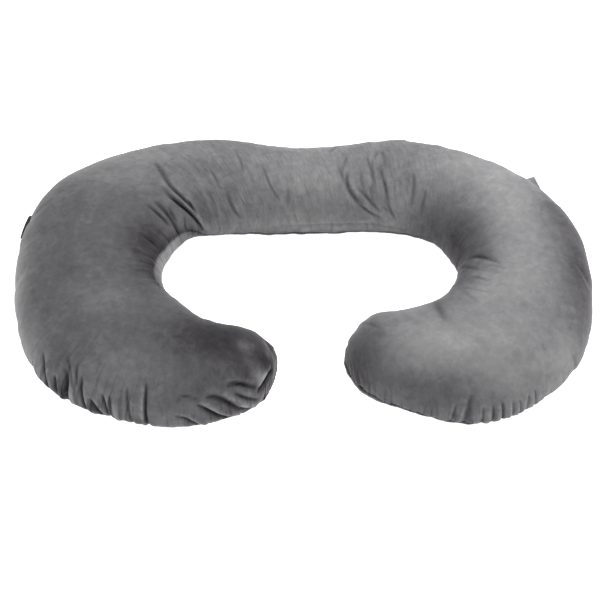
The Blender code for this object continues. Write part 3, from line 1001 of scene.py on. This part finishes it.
def add(tree, kind, inputs=None, settings=None):
    """A shader node of that kind with its settings, and its inputs set or linked.

    An input that is a node is linked to that node's first output. Inputs 1 and 2 of a MapRange
    are the range that it reads, and 3 and 4 the one that it gives.
    """
    node = tree.nodes.new("ShaderNode" + kind)
    for name, value in (settings or {}).items():
        setattr(node, name, value)
    for name, value in (inputs or {}).items():
        if isinstance(value, bpy.types.Node):
            value = value.outputs[0]
        if isinstance(value, bpy.types.NodeSocket):
            tree.links.new(value, node.inputs[name])
        else:
            node.inputs[name].default_value = value
    return node


def new_material(name):
    """A material of that name with no nodes in its tree."""
    material = bpy.data.materials.new(name)
    material.use_nodes = True
    material.node_tree.nodes.clear()
    return material, material.node_tree


def crystal_velvet():
    """Polyester crystal velvet: a short brushed pile, dull to look into and bright at its edges."""
    # Its colour carries painted shade in creases, puckers and along the seams, a painted highlight on
    # the creases' lips, and the painted light and shade of the nap's patches.
    material, tree = new_material("crystal velvet")
    place = add(tree, "TexCoord")
    on_cloth = place.outputs["Object"]
    painted_light_and_nap, fold, pucker, stroked_at, seam_run, seam_way = (
        add(tree, "Attribute", settings={"attribute_name": name}).outputs["Fac"]
        for name in ("nap_and_painted_light", "fold", "pucker", "stroked", "seam run", "seam way")
    )
    # Brushing leaves soft patches 30 to 60 mm across.
    mottle = add(tree, "TexNoise", {"Vector": on_cloth, "Scale": 22.0, "Detail": 7.0, "Roughness": 0.72})
    patches = add(tree, "Math", {0: mottle, 1: 1.1, 2: -0.55}, TIMES_PLUS)
    # Fingers leave smaller blotches in them, 10 to 20 mm across.
    blotch = add(tree, "TexNoise", {"Vector": on_cloth, "Scale": 60.0, "Detail": 5.0, "Distortion": 0.6})
    blotches = add(tree, "Math", {0: blotch, 1: 0.9, 2: -0.45}, TIMES_PLUS)
    lie_tone = add(tree, "Math", {0: patches, 1: blotches}, PLUS)
    # The strokes of a hand are about 8 mm wide and 45 mm long, a little askew across the pillow.
    stretch = add(
        tree, "Mapping",
        {"Vector": place.outputs["UV"], "Rotation": (0, 0, -0.3), "Scale": (0.008, 0.045, 1)},
        {"vector_type": "TEXTURE"},
    )
    strokes = add(
        tree, "TexNoise",
        {"Vector": stretch, "Scale": 1.0, "Detail": 6.0, "Roughness": 0.62, "Distortion": 0.7},
    )
    stroke = add(tree, "MapRange", {"Value": strokes, 1: 0.25, 2: 0.62, 3: -1.0, 4: 0.5}, EASED)
    # They show more in some of the patches than in others.
    some = add(tree, "MapRange", {"Value": mottle, 1: 0.35, 2: 0.62, 3: 0.25, 4: 1.0}, EASED)
    shown = add(tree, "Math", {0: some, 1: stroked_at}, TIMES)
    stroke_tone = add(tree, "Math", {0: stroke, 1: shown}, TIMES)
    # The thread puckers the cloth about every 10 mm along the seam, in folds 110 mm long across it.
    by_seam = add(tree, "CombineXYZ", {"X": seam_run, "Y": seam_way})
    ruffle = add(tree, "Mapping", {"Vector": by_seam, "Scale": (105, 9, 1)})
    ruffles = add(tree, "TexNoise", {"Vector": ruffle, "Scale": 1.0, "Detail": 1.5, "Distortion": 0.4})
    pit = add(tree, "MapRange", {"Value": ruffles, 1: 0.30, 2: 0.52, 3: -1.0, 4: 0.0}, EASED)
    pit_tone = add(tree, "Math", {0: pit, 1: pucker}, TIMES)
    marks = add(tree, "Math", {0: stroke_tone, 1: 0.42, 2: lie_tone}, TIMES_PLUS)
    # The pits are painted twice as dark: painted shade in the puckers.
    pits = add(tree, "Math", {0: pit_tone, 1: 2.0, 2: marks}, TIMES_PLUS)
    # The nap adds its own tone, with painted light and shade.
    pile_and_painted_light = add(tree, "Math", {0: pits, 1: painted_light_and_nap}, PLUS)
    # The painted shade in creases, puckers and along the seams, and the painted highlight on a crease's
    # lip, are broken up by the same blotches.
    broken = add(tree, "MapRange", {"Value": blotch, 1: 0.35, 2: 0.65, 3: -1.6, 4: -3.2})
    total = add(tree, "Math", {0: fold, 1: broken, 2: pile_and_painted_light}, TIMES_PLUS)
    shade = add(tree, "MapRange", {"Value": total, 1: -2.0, 2: 2.0})
    tone = add(tree, "ValToRGB", {"Fac": shade})
    ramp = tone.color_ramp
    ramp.elements[0].color = linear("#161517")
    ramp.elements[1].color = linear("#a9aaab")
    for place_on, colour in ((0.25, "#3f3d40"), (0.5, "#636264"), (0.75, "#888889")):
        ramp.elements.new(place_on).color = linear(colour)
    # The pile is 1 mm long and its tufts stand in clumps of about that size.
    pile = add(tree, "TexNoise", {"Vector": on_cloth, "Scale": 900.0, "Detail": 2.0})
    fine = add(tree, "Math", {0: pile, 1: 0.05}, TIMES)
    brushed = add(tree, "Math", {0: stroke_tone, 1: 0.09, 2: fine}, TIMES_PLUS)
    height = add(tree, "Math", {0: pit_tone, 1: brushed}, PLUS)
    bump = add(tree, "Bump", {"Height": height, "Strength": 1.0, "Distance": 0.005})
    shader = add(
        tree, "BsdfPrincipled",
        {
            "Base Color": tone,
            "Roughness": 0.85,
            "IOR": 1.45,
            "Specular IOR Level": 0.2,
            "Sheen Weight": 0.35,
            "Sheen Roughness": 0.4,
            "Sheen Tint": linear("#d5d2d6"),
            "Normal": bump,
        },
    )
    add(tree, "OutputMaterial", {"Surface": shader})
    return material


def satin_tape(name, ground, edge):
    """Woven polyester tape: fine ribs across it with a dull satin face, and worn lighter or darker.

    The ground colour shows where it is worn, and the edge colour where it isn't.
    """
    material, tree = new_material(name)
    place = add(tree, "TexCoord")
    # Real ribs are about 0.5 mm apart. These are 7.5 mm apart, so that they show.
    ribs = add(
        tree, "TexWave", {"Vector": place.outputs["UV"], "Scale": 42.0},
        {"bands_direction": "Y", "wave_profile": "SIN"},
    )
    wear = add(tree, "TexNoise", {"Vector": place.outputs["Object"], "Scale": 160.0, "Detail": 3.0})
    tone = add(
        tree, "Mix", {"Factor": wear, "A": linear(edge), "B": linear(ground)},
        {"data_type": "RGBA"},
    )
    bump = add(tree, "Bump", {"Height": ribs.outputs["Fac"], "Strength": 0.5, "Distance": 0.0003})
    shader = add(
        tree, "BsdfPrincipled",
        {
            "Base Color": tone.outputs["Result"],
            "Roughness": 0.55,
            "IOR": 1.5,
            "Normal": bump,
        },
    )
    add(tree, "OutputMaterial", {"Surface": shader})
    return material


def studio_floor():
    """A white studio sweep: matt, plain and pale."""
    material, tree = new_material("white studio floor")
    shader = add(
        tree, "BsdfPrincipled",
        {
            "Base Color": linear("#f7f7f7"),
            "Roughness": 0.9,
            "Emission Color": linear("#ffffff"),
            "Emission Strength": 1.0,
        },
    )
    add(tree, "OutputMaterial", {"Surface": shader})
    return material


# ---- the studio ---------------------------------------------------------------------------------

FLOOR_HALF = 8.0  # half of the floor's side
FLOOR_DROP = 0.0005  # how far the floor lies under the pillow, so that the two don't flicker
SKY_STRENGTH = 0.62  # of the even white light from all round
CAMERA_LENS = 78.66  # in millimetres
CAMERA_PLACE = (-0.007, -1.928, 2.378)  # about 51 degrees above level from the pillow's middle
CAMERA_TARGET = (-0.007, -0.075, 0.08)


def look_at(piece, place, target):
    """Puts a light or camera at a place, facing a target."""
    piece.location = place
    piece.rotation_euler = (Vector(target) - Vector(place)).to_track_quat("-Z", "Y").to_euler()
    bpy.context.scene.collection.objects.link(piece)


def area_light(name, place, target, width, height, power):
    """Adds a softbox of that size in metres and power in watts."""
    light = bpy.data.lights.new(name, "AREA")
    light.shape = "RECTANGLE"
    light.size, light.size_y, light.energy = width, height, power
    look_at(bpy.data.objects.new(name, light), place, target)


def studio():
    """Sets up the floor, the soft light and the camera, as a person by the pillow sees it."""
    scene = bpy.context.scene
    corners = np.array([[-1, -1, 0], [1, -1, 0], [1, 1, 0], [-1, 1, 0]]) * FLOOR_HALF
    floor = mesh_piece("floor", corners - [0, 0, FLOOR_DROP], [(0, 1, 2, 3)])
    floor.data.materials.append(studio_floor())
    world = bpy.data.worlds.new("studio")
    world.use_nodes = True
    background = world.node_tree.nodes["Background"]
    background.inputs["Color"].default_value = (1, 1, 1, 1)
    background.inputs["Strength"].default_value = SKY_STRENGTH
    scene.world = world
    area_light("softbox over the right arm", (0.8, 0.6, 1.9), (0.1, 0.0, 0.0), 1.2, 1.2, 32)
    camera = bpy.data.objects.new("camera", bpy.data.cameras.new("camera"))
    camera.data.lens = CAMERA_LENS
    look_at(camera, CAMERA_PLACE, CAMERA_TARGET)
    scene.camera = camera
    scene.view_settings.view_transform = "Standard"


# ---- the model ----------------------------------------------------------------------------------

velvet = crystal_velvet()
pillow = cover()
pillow.data.materials.append(velvet)
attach(pillow, "root")
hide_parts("pillow")
for name, ground, edge, flat, area in (
    ("right_tab", "#d4d4d6", "#b4b3b6", (0.078, 0.125), 0.0042),
    ("left_tab", "#1d1b1e", "#141316", (0.067, 0.039), 0.00251),
):
    tab = tab_piece(name)
    tab.data.materials.append(satin_tape("woven tape, " + name.replace("_", " "), ground, edge))
    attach(tab, "root")
    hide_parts(name)
studio()
